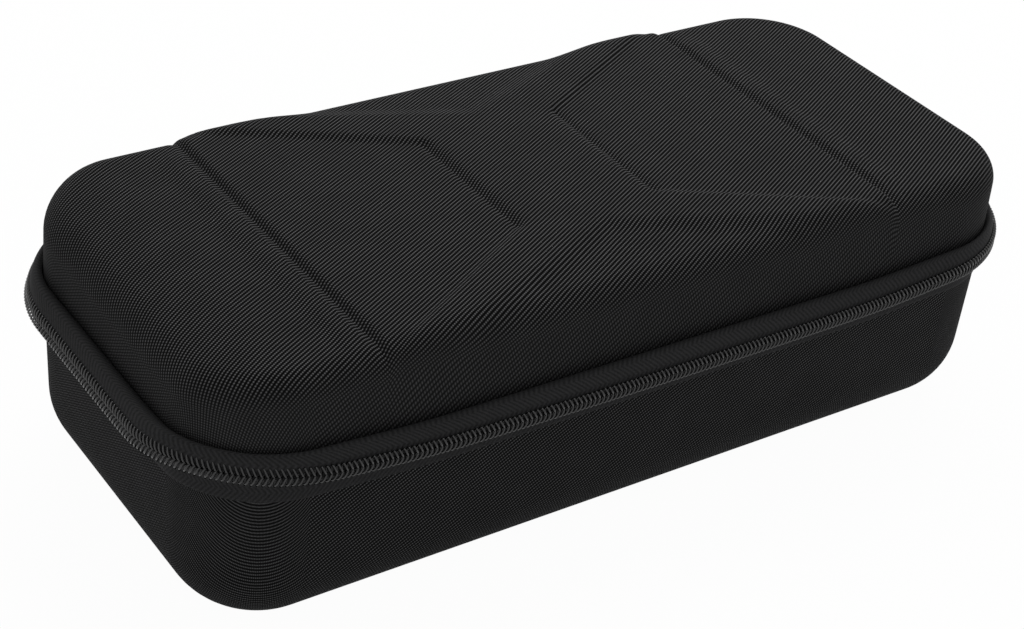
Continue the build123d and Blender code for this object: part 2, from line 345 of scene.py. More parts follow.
def unrolled(loop, profile, mirror=1, stretch=1.0):
    """Rings of a loop up a profile of insets and heights, with cloth coordinates laid flat from its end.

    The stretch is how much longer moulding has drawn the cloth on the wall.
    """
    insets, heights = profile
    lengths = np.hypot(np.diff(insets), np.diff(heights)) / stretch
    distance = np.append(np.cumsum(lengths[::-1])[::-1], 0)
    end_plan, normals = loop(insets[-1])
    rings = [at_height(loop(inset)[0], height) for inset, height in zip(insets, heights)]
    weaves = [(end_plan + normals * gap) * (1, mirror) for gap in distance]
    return np.array(rings), np.array(weaves)


# Node trees, and pieces grown along lines by them


def add_node(tree, kind, inputs=None, **settings):
    """Add a node with its settings, and fill its inputs with values or links."""
    node = tree.nodes.new(kind)
    for key, value in settings.items():
        setattr(node, key, value)
    for key, value in (inputs or {}).items():
        if isinstance(value, bpy.types.NodeSocket):
            tree.links.new(value, node.inputs[key])
        else:
            node.inputs[key].default_value = value
    return node


def geometry_tree(name, sizes):
    """Empty geometry tree with named inputs: the path, the sizes and the material."""
    tree = bpy.data.node_groups.new(name, "GeometryNodeTree")
    tree.interface.new_socket("Path", in_out="INPUT", socket_type="NodeSocketGeometry")
    for size in sizes:
        tree.interface.new_socket(size, in_out="INPUT", socket_type="NodeSocketFloat")
    tree.interface.new_socket("Material", in_out="INPUT", socket_type="NodeSocketMaterial")
    tree.interface.new_socket("Mesh", in_out="OUTPUT", socket_type="NodeSocketGeometry")
    return tree, add_node(tree, "NodeGroupInput").outputs


def close_tree(tree, instances, given):
    """End a geometry tree: real meshes, smooth, with their material."""
    real = add_node(tree, "GeometryNodeRealizeInstances", {0: instances})
    smooth = add_node(tree, "GeometryNodeSetShadeSmooth", {"Geometry": real.outputs[0]})
    painted = add_node(
        tree, "GeometryNodeSetMaterial", {"Geometry": smooth.outputs[0], "Material": given["Material"]}
    )
    add_node(tree, "NodeGroupOutput", {0: painted.outputs[0]})


def along_path(tree, given, spacing, shape):
    """Copies of a shape along the path, X along it and Z near the path's own upward lines."""
    curve = add_node(tree, "GeometryNodeMeshToCurve", {"Mesh": given["Path"]})
    points = add_node(
        tree, "GeometryNodeCurveToPoints", {"Curve": curve.outputs[0], "Length": spacing}, mode="LENGTH"
    )
    ahead = add_node(
        tree, "FunctionNodeAlignRotationToVector", {"Vector": points.outputs["Tangent"]}, axis="X"
    )
    upward = add_node(tree, "GeometryNodeInputNamedAttribute", {"Name": "upward"}, data_type="FLOAT_VECTOR")
    upright = add_node(
        tree,
        "FunctionNodeAlignRotationToVector",
        {"Rotation": ahead.outputs[0], "Vector": upward.outputs["Attribute"]},
        axis="Z",
        pivot_axis="X",
    )
    return add_node(
        tree,
        "GeometryNodeInstanceOnPoints",
        {"Points": points.outputs["Points"], "Instance": shape, "Rotation": upright.outputs[0]},
    ).outputs[0]


def round_wire(tree, curve, radius, sides, capped=True):
    """Round wire along a curve."""
    ring = add_node(tree, "GeometryNodeCurvePrimitiveCircle", {"Resolution": sides, "Radius": radius})
    wire = add_node(
        tree,
        "GeometryNodeCurveToMesh",
        {"Curve": curve, "Profile Curve": ring.outputs[0], "Fill Caps": capped},
    )
    return wire.outputs[0]


def coil_tree():
    """One flat, leaning turn of wire for each pitch along the path, so that the turns join into a coil."""
    tree, given = geometry_tree("zip coil", ("Pitch", "Wire", "Depth", "Width", "Rise", "Lean"))
    turn = add_node(
        tree,
        "GeometryNodeCurveSpiral",
        {
            "Resolution": 14,
            "Rotations": 1.0,
            "Start Radius": 1.0,
            "End Radius": 1.0,
            "Height": given["Pitch"],
        },
    )
    flat = add_node(tree, "ShaderNodeCombineXYZ", {0: given["Width"], 1: given["Depth"], 2: 1.0})
    lift = add_node(tree, "ShaderNodeCombineXYZ", {2: given["Rise"]})
    lean = add_node(tree, "ShaderNodeCombineXYZ", {1: given["Lean"]})
    laid = add_node(
        tree,
        "GeometryNodeTransform",
        {
            "Geometry": turn.outputs[0],
            "Rotation": lean.outputs[0],
            "Scale": flat.outputs[0],
            "Translation": lift.outputs[0],
        },
    )
    wire = round_wire(tree, laid.outputs[0], given["Wire"], sides=6, capped=False)
    close_tree(tree, along_path(tree, given, given["Pitch"], wire), given)
    return tree


def stitch_tree():
    """One short, humped thread for each stitch along the path."""
    tree, given = geometry_tree("stitch row", ("Spacing", "Length", "Thread"))
    half = add_node(tree, "ShaderNodeMath", {0: given["Length"], 1: 0.5}, operation="MULTIPLY")
    minus = add_node(tree, "ShaderNodeMath", {0: given["Length"], 1: -0.5}, operation="MULTIPLY")
    head = add_node(tree, "ShaderNodeCombineXYZ", {0: half.outputs[0]})
    tail = add_node(tree, "ShaderNodeCombineXYZ", {0: minus.outputs[0]})
    hump = add_node(tree, "ShaderNodeCombineXYZ", {2: given["Thread"]})
    sewn = add_node(
        tree,
        "GeometryNodeCurveQuadraticBezier",
        {"Resolution": 4, "Start": tail.outputs[0], "Middle": hump.outputs[0], "End": head.outputs[0]},
    )
    stitch = round_wire(tree, sewn.outputs[0], given["Thread"], sides=5)
    close_tree(tree, along_path(tree, given, given["Spacing"], stitch), given)
    return tree


def strand_tree():
    """A round strand along every line of the path."""
    tree, given = geometry_tree("net strands", ("Strand",))
    curve = add_node(tree, "GeometryNodeMeshToCurve", {"Mesh": given["Path"]})
    close_tree(tree, round_wire(tree, curve.outputs[0], given["Strand"], sides=4), given)
    return tree


def grown(name, lines, tree, sizes, material, upward=(0, 0, 1)):
    """Plain mesh piece that a geometry tree makes along lines of points, set upright by upward lines."""
    edges = []
    start = 0
    for line in lines:
        edges += [(k, k + 1) for k in range(start, start + len(line) - 1)]
        start += len(line)
    path = bpy.data.meshes.new(name + "_path")
    path.from_pydata(np.vstack(lines).tolist(), edges, [])
    layer = path.attributes.new("upward", "FLOAT_VECTOR", "POINT")
    layer.data.foreach_set("vector", np.broadcast_to(upward, (start, 3)).astype(np.float32).ravel())
    piece = new_piece(name, path)
    modifier = piece.modifiers.new("grow", "NODES")
    modifier.node_group = tree
    sockets = {item.name: item.identifier for item in tree.interface.items_tree if item.in_out == "INPUT"}
    for label, value in {**sizes, "Material": material}.items():
        modifier[sockets[label]] = value
    mesh = bpy.data.meshes.new_from_object(piece.evaluated_get(bpy.context.evaluated_depsgraph_get()))
    piece.modifiers.clear()
    piece.data = mesh
    return piece


# Lid and base shells


def mark_walls_drawn_and_shaded(mesh, amount):
    """Give each point how far moulding drew the cloth there: nothing on the flat, an amount upright. The
    same amount darkens upright walls with painted shade.
    """
    normals = np.empty(3 * len(mesh.vertices), np.float32)
    mesh.vertices.foreach_get("normal", normals)
    layer = mesh.attributes.new("drawn", "FLOAT", "POINT")
    layer.data.foreach_set("value", amount * (1 - np.abs(normals[2::3])))


def soft_min(a, b, softness):
    """Smaller of two heights, with the edge between them rounded."""
    blend = np.maximum(softness - np.abs(a - b), 0) / softness
    return np.minimum(a, b) - blend ** 2 * softness / 4


def smooth_share(value):
    """Ease from 0 to 1, gently at both ends."""
    share = np.clip(value, 0, 1)
    return share * share * (3 - 2 * share)


def swelling(value):
    """Ease from 0 to 1 with a sharp foot and a round crest."""
    return 1 - (1 - np.clip(value, 0, 1)) ** 2


def relief(plan, drop):
    """Height that the relief adds to plan points of the lid, which lie a drop below its flat end."""
    x = np.abs(plan[..., 0] - relief_place)
    y = np.abs(plan[..., 1])
    toward_edge = np.clip((y - notch_apex) / (half_width - rim_inset - notch_apex), 0, 1)
    notch_slope = notch_slope_near + (notch_slope_far - notch_slope_near) * toward_edge
    notch_floor = notch_sill * (1 - smooth_share(toward_edge))
    inside_notch_edge = (notch_apex + notch_slant * x - y) / math.hypot(1, notch_slant)
    arm = notch_floor + (relief_rise - notch_floor) * smooth_share(inside_notch_edge / notch_slope + 0.5)
    beyond_short = x - panel_short
    beyond_slant = (panel_corner + panel_slant * beyond_short - y) / math.hypot(1, panel_slant)
    across_panel = smooth_share(beyond_slant / panel_slope + 0.5)
    low_share = across_panel * (1 - swelling(-beyond_short / swell_width))
    groove = panel_groove_depth * across_panel * np.exp(-((beyond_short / panel_groove_width) ** 2))
    panel = relief_rise - (relief_rise - panel_rise) * low_share - groove
    inward = crease_place - x
    shoulder = relief_rise * swelling(inward / shoulder_width)
    height = soft_min(soft_min(arm, panel, relief_blend), shoulder, relief_blend)
    run_out = smooth_share((half_width - rim_inset - lid_edge / 2 - y) / crease_bead_run_out)
    bead = crease_bead_rise * np.exp(-(((inward + crease_bead_place) / crease_bead_width) ** 2))
    ridge = crease_ridge_rise * np.exp(-(((inward + crease_ridge_place) / crease_ridge_width) ** 2))
    crease = crease_depth * np.exp(-((inward / crease_width) ** 2))
    return height + (run_out * (bead + ridge) - crease) * (1 - smooth_share(drop / crease_fade))


def left_fall(plan):
    """How far the lid's top falls away towards its left end."""
    return left_end_fall * np.maximum((-plan[..., 0] - left_fall_place) / left_fall_run, 0) ** 2


def lid_columns(reach):
    """Places along the lid's straight sides, closer together at the creases and the panels' short ends."""
    fine = sorted(relief_place + side * place for side in (-1, 1) for place in (crease_place, panel_short))
    bounds = [-reach] + [place + side * lid_fine_reach for place in fine for side in (-1, 1)] + [reach]
    spans = []
    for k, (start, stop) in enumerate(zip(bounds, bounds[1:])):
        step = lid_fine_step if k % 2 else lid_coarse_step
        spans.append(np.linspace(start, stop, round((stop - start) / step), endpoint=False))
    return np.concatenate(spans)


def lid_chain(inset):
    """Front half of the lid's outline at an inset, from the left end to the right, with its normals."""
    corner = core_inset - inset
    x = half_length + end_reach - core_inset
    y = half_width - core_inset
    turn = np.linspace(math.pi, 1.5 * math.pi, lid_corner_steps)
    arc = np.column_stack([np.cos(turn), np.sin(turn)])
    places = lid_columns(x)[1:]
    left = corner * arc - (x, y)
    middle = np.column_stack([places, np.full(len(places), -y - corner)])
    right = left[::-1] * (-1, 1)
    straight = np.tile((0.0, -1.0), (len(places), 1))
    return np.vstack([left, middle, right]), np.vstack([arc, straight, arc[::-1] * (-1, 1)])


def lid_loop(inset):
    """Whole outline of the lid at an inset, counter-clockwise from the front left, with its normals."""
    chain, normals = lid_chain(inset)
    rows = lid_rows[1:-1] * (half_width - core_inset)
    right = np.column_stack([np.full(len(rows), chain[-1, 0]), rows])
    outward = np.tile((1.0, 0.0), (len(rows), 1))
    points = np.vstack([chain, right, chain[::-1] * (1, -1), -right])
    return points, np.vstack([normals, outward, normals[::-1] * (1, -1), -outward])


def lid_shell():
    """Lid: a shallow drafted tray with the relief pressed into its top, lined inside."""
    ceiling = lid_end_height - wall
    inside = drafted_profile(
        rim_inset + wall, lid_rim, ceiling, lid_draft, lid_edge - wall, wall_steps=5, edge_steps=5
    )
    outside = drafted_profile(
        rim_inset, lid_rim, lid_end_height, lid_draft, lid_edge, wall_steps=13, edge_steps=12
    )
    inner_rings, inner_weave = unrolled(lid_loop, inside)
    arc_start = lid_end_height - lid_edge
    stretch = np.where(outside[1][1:] > arc_start, lid_edge_stretch, lid_wall_stretch)
    outer_rings, outer_weave = unrolled(lid_loop, outside, stretch=stretch)
    for ring in inner_rings:
        hanging = np.clip((arc_start - ring[0, 2]) / (arc_start - lid_rim), 0, 1)
        ring[:, 2] -= hanging * zip_hang(ring[:, :2])
    for ring in outer_rings:
        height = ring[0, 2]
        hanging = np.clip((arc_start - height) / (arc_start - lid_rim), 0, 1)
        pressed = smooth_share((height - lid_rim) / (arc_start - lid_rim))
        ring[:, 2] += pressed * relief(ring[:, :2], lid_end_height - height)
        ring[:, 2] -= hanging * zip_hang(ring[:, :2]) + (1 - hanging) * left_fall(ring[:, :2])
    x, y = lid_chain(outside[0][-1])[0].T
    top_plan = np.stack([np.broadcast_to(x, (len(lid_rows), len(x))), -np.outer(lid_rows, y)], axis=-1)
    top_height = lid_end_height + relief(top_plan, 0) - left_fall(top_plan)
    top = np.concatenate([top_plan, top_height[..., None]], axis=-1)
    lined = np.concatenate([inner_rings[::-1], outer_rings[:1]])
    lined_weave = np.concatenate([inner_weave[::-1], outer_weave[:1]])
    mesh = patch_mesh(
        "lid_shell_twill",
        [(outer_rings, outer_weave, True, 0), (top, top_plan, False, 0), (lined, lined_weave, True, 1)],
        [(inner_rings[-1][::-1], inner_weave[-1][::-1], 1)],
    )
    mark_walls_drawn_and_shaded(mesh, lid_draw_and_shade)
    finish_piece(new_piece("lid_shell_twill", mesh, twill, lining), "lid", "twill_shell", "lid_shell")


def base_shell():
    """Base: a deep drafted tray with a generous edge round its foot, lined inside."""
    steps = (120, 48, 28)
    outside = drafted_profile(
        rim_inset, base_rim, 0, base_draft, base_edge, wall_steps=16, edge_steps=20
    )
    inside = drafted_profile(
        rim_inset + wall, base_rim, wall, base_draft, base_edge - wall, wall_steps=10, edge_steps=10
    )
    outer_rings, outer_weave = unrolled(lambda inset: outline(inset, steps), outside, -1)
    inner_rings, inner_weave = unrolled(lambda inset: outline(inset, steps), inside)
    lined = np.concatenate([outer_rings[:1], inner_rings])
    lined_weave = np.concatenate([outer_weave[:1], inner_weave])
    mesh = patch_mesh(
        "base_shell_twill",
        [(outer_rings[::-1], outer_weave[::-1], True, 0), (lined, lined_weave, True, 1)],
        [(outer_rings[-1][::-1], outer_weave[-1][::-1], 0), (inner_rings[-1], inner_weave[-1], 1)],
    )
    mark_walls_drawn_and_shaded(mesh, base_draw_and_shade)
    finish_piece(new_piece("base_shell_twill", mesh, twill, lining), "base", "twill_shell", "base_shell")


# Zip, hinge and bindings


def smooth_line(points, count):
    """Points along a smooth curve through a few section points."""
    points = np.array(points, float)
    ends = np.vstack([2 * points[0] - points[1], points, 2 * points[-1] - points[-2]])
    spans = len(points) - 1
    places = np.linspace(0, spans, count)
    index = np.minimum(places.astype(int), spans - 1)
    t = (places - index)[:, None]
    a, b, c, d = (ends[index + k] for k in range(4))
    bend = 2 * a - 5 * b + 4 * c - d
    twist = 3 * b - a - 3 * c + d
    return 0.5 * (2 * b + (c - a) * t + bend * t ** 2 + twist * t ** 3)


def ribbon_section(line, thickness):
    """Closed section of a cloth band: its outer line, its inner line back, and its first point again."""
    along = np.gradient(line, axis=0)
    along /= np.linalg.norm(along, axis=1)[:, None]
    inward = np.column_stack([along[:, 1], -along[:, 0]])
    return np.vstack([line, (line + inward * thickness)[::-1], line[:1]])


def swept(name, rings, section, closed):
    """Mesh of a section carried along a path. Rings are its points' paths, the first again last."""
    middle = rings[len(section) // 4]
    path = np.vstack([middle, middle[:1]]) if closed else middle
    along = np.append(0, np.cumsum(np.linalg.norm(np.diff(path, axis=0), axis=1)))
    across = np.append(0, np.cumsum(np.linalg.norm(np.diff(section, axis=0), axis=1)))
    weave = np.stack(np.meshgrid(along, across), axis=-1)
    fills = []
    if not closed:
        fills = [(rings[:-1, 0][::-1], weave[:-1, 0][::-1], 0), (rings[:-1, -1], weave[:-1, -1], 0)]
    return patch_mesh(name, [(rings, weave, closed, 0)], fills)


def zip_hang(plan):
    """How far the zip and the lid's rim hang down between the front corners and at the left end."""
    x, y = plan.T
    along = smooth_share((zip_sag_reach - np.abs(x)) / zip_sag_ease)
    front = smooth_share(-y / (half_width / 2))
    left = smooth_share((-x - left_sag_start) / left_sag_ease)
    behind = smooth_share((y + left_sag_front) / left_sag_ease)
    return zip_sag * along * front + left_sag * left * behind


def swept_round(name, section, steps, opening=0.0, side=1, hanging=1):
    """Mesh of a section of insets and rises carried round the case, hanging with the zip or not."""
    rings = []
    for inset, rise in section:
        plan = outline(inset, steps, opening)[0]
        rings.append(at_height(plan, zip_height + side * rise - hanging * zip_hang(plan)))
    return swept(name, np.array(rings), section, not opening)


def zip_tapes():
    """Tapes: the lid's bulges as a soft bead, and the base's tucks in under the lip and down the wall."""
    steps = (160, 72, 40)
    section_steps = 30
    bead = [(2.0, 0.2), (2.0, 2.4), (2.6, 4.2), (3.9, 5.6), (5.6, 6.2), (7.4, 5.8), (9.1, 4.6)]
    tuck = [(8.7, -11.5), (8.7, -7.4), (8.4, -6.0), (6.6, -5.0), (4.6, -3.8), (3.0, -2.4), (2.1, -0.2)]
    for name, body, points in (("lid_zip_tape", "lid", bead), ("base_zip_tape", "base", tuck)):
        section = ribbon_section(smooth_line(np.array(points) * mm, section_steps), tape_thickness)
        mesh = swept_round(name + "_herringbone", section, steps, hinge_half_length)
        finish_piece(new_piece(name + "_herringbone", mesh, herringbone), body, "zip_tape", name)


def hinge_strip():
    """Cloth hinge along the back, its section curving from the base up to the lid."""
    section_steps = 44
    long_steps = 90
    upper = [(2.0, 1.6), (2.8, 3.4), (5.6, 4.4), (9.2, 5.0)]
    lower = [(inset, -rise) for inset, rise in upper[::-1]]
    line = smooth_line(np.array(lower + upper) * mm, section_steps)
    section = ribbon_section(line, tape_thickness)
    x = np.linspace(hinge_half_length - fit_gap, fit_gap - hinge_half_length, long_steps)
    rings = []
    for inset, rise in section:
        bow = max(lip_bow * (1 - inset / rim_inset), straight_bow)
        end = half_length - inset
        arc = (end ** 2 + bow ** 2) / (2 * bow)
        y = half_width - inset - arc + np.sqrt(arc ** 2 - x ** 2)
        rings.append(at_height(np.column_stack([x, y]), zip_height + rise))
    mesh = swept("hinge_strip_cloth", np.array(rings), section, False)
    piece = new_piece("hinge_strip_cloth", mesh, herringbone)
    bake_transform(piece)
    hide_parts("hinge_strip")


def bindings():
    """Grosgrain folded over the raw rim of each shell."""
    steps = (120, 48, 24)
    fold_share = 0.3
    edge = zip_height - base_rim
    top = edge - binding_thickness
    for name, body, side, draft, hanging in (
        ("base_rim_binding", "base", -1, base_draft, 0),
        ("lid_rim_binding", "lid", 1, lid_draft, 1),
    ):
        leaf = rim_inset + wall + binding_depth * math.tan(draft)
        section = np.array(
            [
                (rim_inset, edge),
                (rim_inset, top + rim_roll),
                (rim_inset + rim_roll * fold_share, top + rim_roll * fold_share),
                (rim_inset + rim_roll, top),
                (leaf, top),
                (leaf + binding_thickness * (1 - fold_share), top + rim_roll * fold_share),
                (leaf + binding_thickness, top + rim_roll),
                (leaf + binding_thickness, edge + binding_depth),
                (leaf, edge + binding_depth),
                (leaf, edge),
                (rim_inset, edge),
            ]
        )
        mesh = swept_round(name + "_grosgrain", section, steps, side=side, hanging=hanging)
        finish_piece(new_piece(name + "_grosgrain", mesh, grosgrain), body, "rim_binding", name)


def zip_coils():
    """The nylon coil's halves, wound opposite ways, interlocked along the lip, parted at the sliders."""
    steps = (400, 120, 60)
    front_facing = 0.75
    front_ease = 0.25
    left_ease = 0.5
    tree = coil_tree()
    plan, normals = outline(coil_depth / 2, steps, hinge_half_length)
    ahead = np.gradient(plan, axis=0)
    ahead /= np.linalg.norm(ahead, axis=1)[:, None]
    at_front = smooth_share((-normals[:, 1] - front_facing) / front_ease)
    at_left = smooth_share(-normals[:, 0] / left_ease)
    outward = np.column_stack([normals, np.zeros(len(normals))])
    for name, body, side, tilt in (
        ("lid_zip_coil", "lid", 1, -left_upper_tilt * at_left),
        ("base_zip_coil", "base", -1, front_tuck * at_front - left_lower_tilt * at_left),
    ):
        shifted = plan if side > 0 else plan + ahead * coil_pitch / 2
        parted = 1 - smooth_share((np.abs(shifted[:, 1]) - slot_half + slot_ease) / slot_ease)
        lift = side * slot_shift * parted * (shifted[:, 0] > 0)
        sizes = {
            "Pitch": coil_pitch,
            "Wire": coil_wire,
            "Depth": side * (coil_wire - coil_depth / 2),
            "Width": (coil_reach + coil_overlap) / 2 - coil_wire,
            "Rise": side * (coil_reach - coil_overlap) / 2,
            "Lean": math.pi / 2 - side * coil_lean,
        }
        upward = outward * np.sin(tilt)[:, None] + np.cos(tilt)[:, None] * (0, 0, 1)
        path = at_height(shifted, zip_height - zip_hang(shifted) + lift)
        finish_piece(grown(name + "_turns", [path], tree, sizes, nylon, upward), body, "zip_coil", name)


def zip_metal():
    """Sliders and pulls: the CAD pieces again, with their edges softened as die casting leaves them."""
    weld = 0.01 * mm
    flat = math.radians(3)
    corner = math.radians(40)
    shaded_corner = math.radians(35)
    edge_round = 0.22 * mm
    for name in ("front_slider", "front_pull", "rear_slider", "rear_pull"):
        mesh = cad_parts[name].data.copy()
        work = bmesh.new()
        work.from_mesh(mesh)
        bmesh.ops.remove_doubles(work, verts=work.verts, dist=weld)
        bmesh.ops.dissolve_limit(work, angle_limit=flat, verts=work.verts, edges=work.edges)
        sharp = [edge for edge in work.edges if edge.is_manifold and edge.calc_face_angle() > corner]
        bmesh.ops.bevel(
            work, geom=sharp, offset=edge_round, segments=2, profile=0.5, affect="EDGES", clamp_overlap=True
        )
        bmesh.ops.triangulate(work, faces=[face for face in work.faces if len(face.verts) > 4])
        for face in work.faces:
            face.smooth = True
        work.to_mesh(mesh)
        work.free()
        mesh.materials.clear()
        mesh.set_sharp_from_angle(angle=shaded_corner)
        finish_piece(new_piece(name + "_cast", mesh, painted_zinc), name, "zip_metal", name)


# Inside of the case


def console_cradle():
    """Foam cradle with a rounded recess, its edges soft under a brushed lining."""
    steps = (96, 40, 20)
    round_steps = 7
    quarter = np.linspace(0, math.pi / 2, round_steps)
    top = cradle_high.z
    inset = half_width - cradle_high.y
    profile = drafted_profile(
        inset, top, cradle_low.z, base_draft, base_edge - wall, wall_steps=12, edge_steps=10
    )
    side_rings, side_weave = unrolled(lambda inward: outline(inward, steps), profile)
    rings = list(side_rings[:0:-1])
    weave = list(side_weave[:0:-1])
    for angle in quarter:
        plan = outline(inset + cradle_rim_round * (1 - math.cos(angle)), steps)[0]
        rings.append(at_height(plan, top - cradle_rim_round * (1 - math.sin(angle))))
        weave.append(plan)
    mouth = [(math.sin(a) - 1, math.cos(a) - 1) for a in quarter]
    cove = [(1 - math.cos(a), 1 - math.sin(a)) for a in quarter]
    recess = [(cradle_mouth_round * x, top + cradle_mouth_round * z) for x, z in mouth]
    recess += [(cradle_cove * x, recess_floor + cradle_cove * z) for x, z in cove]
    depth = -cradle_mouth_round
    before = recess[0]
    for inward, height in recess:
        depth += math.dist(before, (inward, height))
        before = (inward, height)
        sizes = recess_half_length - inward, recess_half_width - inward, recess_corner - inward
        plan = rounded_rectangle(*sizes, steps)
        rings.append(at_height(plan, height))
        weave.append(plan * (1 - depth / recess_half_width))
    mesh = patch_mesh(
        "console_cradle_lined",
        [(np.array(rings), np.array(weave), True, 0)],
        [(side_rings[-1][::-1], side_weave[-1][::-1], 0), (rings[-1], weave[-1], 0)],
    )
    piece = new_piece("console_cradle_lined", mesh, lining)
    finish_piece(piece, "base", "cradle_foam", "console_cradle")


def band_mesh(name, line, across, width, thickness):
    """Flat woven band along a line of points: rounded selvedges, cut ends, weave along and across."""
    round_steps = 5
    flat_steps = 9
    line = np.array(line, float)
    across = np.array(across, float)
    along = np.gradient(line, axis=0)
    along /= np.linalg.norm(along, axis=1)[:, None]
    face = np.cross(along, across)
    selvedge = thickness / 2
    half = width / 2 - selvedge
    angles = np.linspace(-math.pi / 2, math.pi / 2, round_steps)
    right = [(half + selvedge * math.cos(a), selvedge * math.sin(a)) for a in angles]
    top = [(x, selvedge) for x in np.linspace(half, -half, flat_steps)[1:-1]]
    opposite = [(-x, -y) for x, y in right + top]
    section = np.array(right + top + opposite + right[:1])
    rings = np.array([line + x * across + y * face for x, y in section])
    return swept(name, rings, section, False)


def straps():
    """Two webbing straps that meet over the console, and the hook and loop between them."""
    strap_steps = 60
    patch_steps = 24
    across = (1, 0, 0)
    front_low, front_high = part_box("strap_front")
    rear_low, rear_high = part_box("strap_rear")
    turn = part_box("strap_loop_patch")[1].y
    width = front_high.x - front_low.x
    thickness = front_high.z - front_low.z
    seat = front_low.z + thickness / 2
    lifted = rear_high.z - thickness / 2
    front = [(0, y, seat) for y in np.linspace(front_low.y, front_high.y, strap_steps)]
    places = np.linspace(rear_low.y, rear_high.y, strap_steps)
    down = smooth_share((places - turn) / (recess_half_width - turn))
    rear = np.column_stack([np.zeros(len(places)), places, lifted + (seat - lifted) * down])
    for name, line in (("strap_front", front), ("strap_rear", rear)):
        mesh = band_mesh(name + "_webbing", line, across, width, thickness)
        finish_piece(new_piece(name + "_webbing", mesh, webbing), "base", "strap_webbing", name)
    for name, material in (("strap_loop_patch", loop_pile), ("strap_hook_patch", hook_nylon)):
        low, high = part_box(name)
        line = [(0, y, (low.z + high.z) / 2) for y in np.linspace(low.y, high.y, patch_steps)]
        mesh = band_mesh(name + "_tape", line, across, high.x - low.x, high.z - low.z)
        finish_piece(new_piece(name + "_tape", mesh, material), "base", "hook_and_loop", name)


def stitches():
    """Boxes of stitches on the straps, and a row along each rim binding."""
    steps = (120, 48, 24)
    row_steps = 12
    row_depth = 4.4 * mm
    anchor = 1.2 * mm
    tree = stitch_tree()
    sizes = {"Spacing": stitch_length + stitch_gap, "Length": stitch_length, "Thread": stitch_thread}
    front_low, front_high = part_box("strap_front")
    rear_low, rear_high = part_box("strap_rear")
    patch_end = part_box("strap_loop_patch")[1].y
    half = front_high.x - stitch_inset
    rows = []
    for near, far, height in (
        (front_low.y + anchor, 3 * anchor - recess_half_width, front_high.z),
        (rear_high.y - anchor, recess_half_width - anchor, front_high.z),
        (rear_low.y + stitch_inset, patch_end - stitch_inset, rear_high.z),
    ):
        corners = [(-half, near), (half, near), (half, far), (-half, far), (-half, near)]
        rows += [at_height(np.linspace(a, b, row_steps), height) for a, b in zip(corners, corners[1:])]
    finish_piece(grown("strap_stitches", rows, tree, sizes, thread), "base", "strap_webbing")
    for name, body, height, draft, hanging in (
        ("base_binding_stitches", "base", base_rim - row_depth, base_draft, 0),
        ("lid_binding_stitches", "lid", lid_rim + row_depth, lid_draft, 1),
    ):
        inset = rim_inset + wall + binding_depth * math.tan(draft) + binding_thickness
        plan = outline(inset, steps)[0]
        plan = np.vstack([plan, plan[:1]])
        row = at_height(plan, height - hanging * zip_hang(plan))
        finish_piece(grown(name, [row], tree, sizes, thread), body, "rim_binding")


def lid_pocket():
    """Net pocket in the lid: a hexagonal net sewn in on three sides, and an elastic along its mouth."""
    trim = 0.05
    steps_per_gather = 7
    low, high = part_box("lid_net")
    level = (low.z + high.z) / 2
    reach_x = high.x - net_strand
    reach_y = high.y - net_strand
    corner = rim_corner - (half_width - high.y - rim_inset)

    def inside(place):
        over = np.maximum(np.abs(place) - (reach_x - corner, reach_y - corner), 0)
        return math.hypot(*over) < corner and place[1] > net_mouth

    def clipped(start, stop):
        """Part of a strand from a point inside the pocket's edge, up to that edge."""
        share = 1.0
        while share > trim and not inside(start + (stop - start) * share):
            share -= trim
        return start + (stop - start) * share

    side = net_cell / math.sqrt(3)
    columns = int(reach_x / net_cell) + 2
    rows = int(reach_y / side) + 2
    lines = []
    for row in range(-rows, rows + 1):
        for column in range(-columns, columns + 1):
            middle = np.array([(column + 0.5 * (row % 2)) * net_cell, row * 1.5 * side])
            top = middle + (0, side)
            right = middle + (net_cell / 2, side / 2)
            left = middle + (-net_cell / 2, side / 2)
            for start, stop in ((top, right), (top, left), (right, right - (0, side))):
                if not inside(start):
                    start, stop = stop, start
                if inside(start):
                    lines.append(at_height(np.array([start, clipped(start, stop)]), level))
    piece = grown("lid_net_knit", lines, strand_tree(), {"Strand": net_strand}, net_yarn)
    finish_piece(piece, "lid", "pocket_net", "lid_net")
    low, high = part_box("net_elastic")
    half = high.x - fit_gap
    places = np.linspace(-half, half, steps_per_gather * elastic_gathers)
    wave = (high.z - low.z - elastic_thickness) / 2
    heights = (low.z + high.z) / 2 + wave * np.sin(places / half * math.pi * elastic_gathers)
    line = np.column_stack([places, np.full(len(places), (low.y + high.y) / 2), heights])
    mesh = band_mesh("net_elastic_band", line, (0, 1, 0), high.y - low.y, elastic_thickness)
    finish_piece(new_piece("net_elastic_band", mesh, elastic), "lid", "elastic", "net_elastic")


# Materials

# Length that one band of the wave texture takes up at scale 1
wave_unit = math.pi / 10


def linear(code):
    """sRGB hex colour as linear RGBA."""
    parts = [((code >> shift) & 255) / 255 for shift in (16, 8, 0)]
    return [c / 12.92 if c <= 0.04045 else ((c + 0.055) / 1.055) ** 2.4 for c in parts] + [1.0]


def new_material(name, roughness, specular):
    """Material with its shader's plain values set on the shader itself."""
    material = bpy.data.materials.new(name)
    material.use_nodes = True
    tree = material.node_tree
    shader = tree.nodes["Principled BSDF"]
    shader.inputs["Roughness"].default_value = roughness
    shader.inputs["Specular IOR Level"].default_value = specular
    return material, tree, shader


def apply_pattern(tree, shader, pattern, valley, crest, depth):
    """Let a pattern from 0 to 1 run the colour from valley to crest and raise the surface over a depth."""
    tint = add_node(
        tree, "ShaderNodeMix", {0: pattern, 6: linear(valley), 7: linear(crest)}, data_type="RGBA"
    )
    bump = add_node(tree, "ShaderNodeBump", {"Height": pattern, "Distance": depth})
    tree.links.new(tint.outputs[2], shader.inputs["Base Color"])
    tree.links.new(bump.outputs[0], shader.inputs["Normal"])


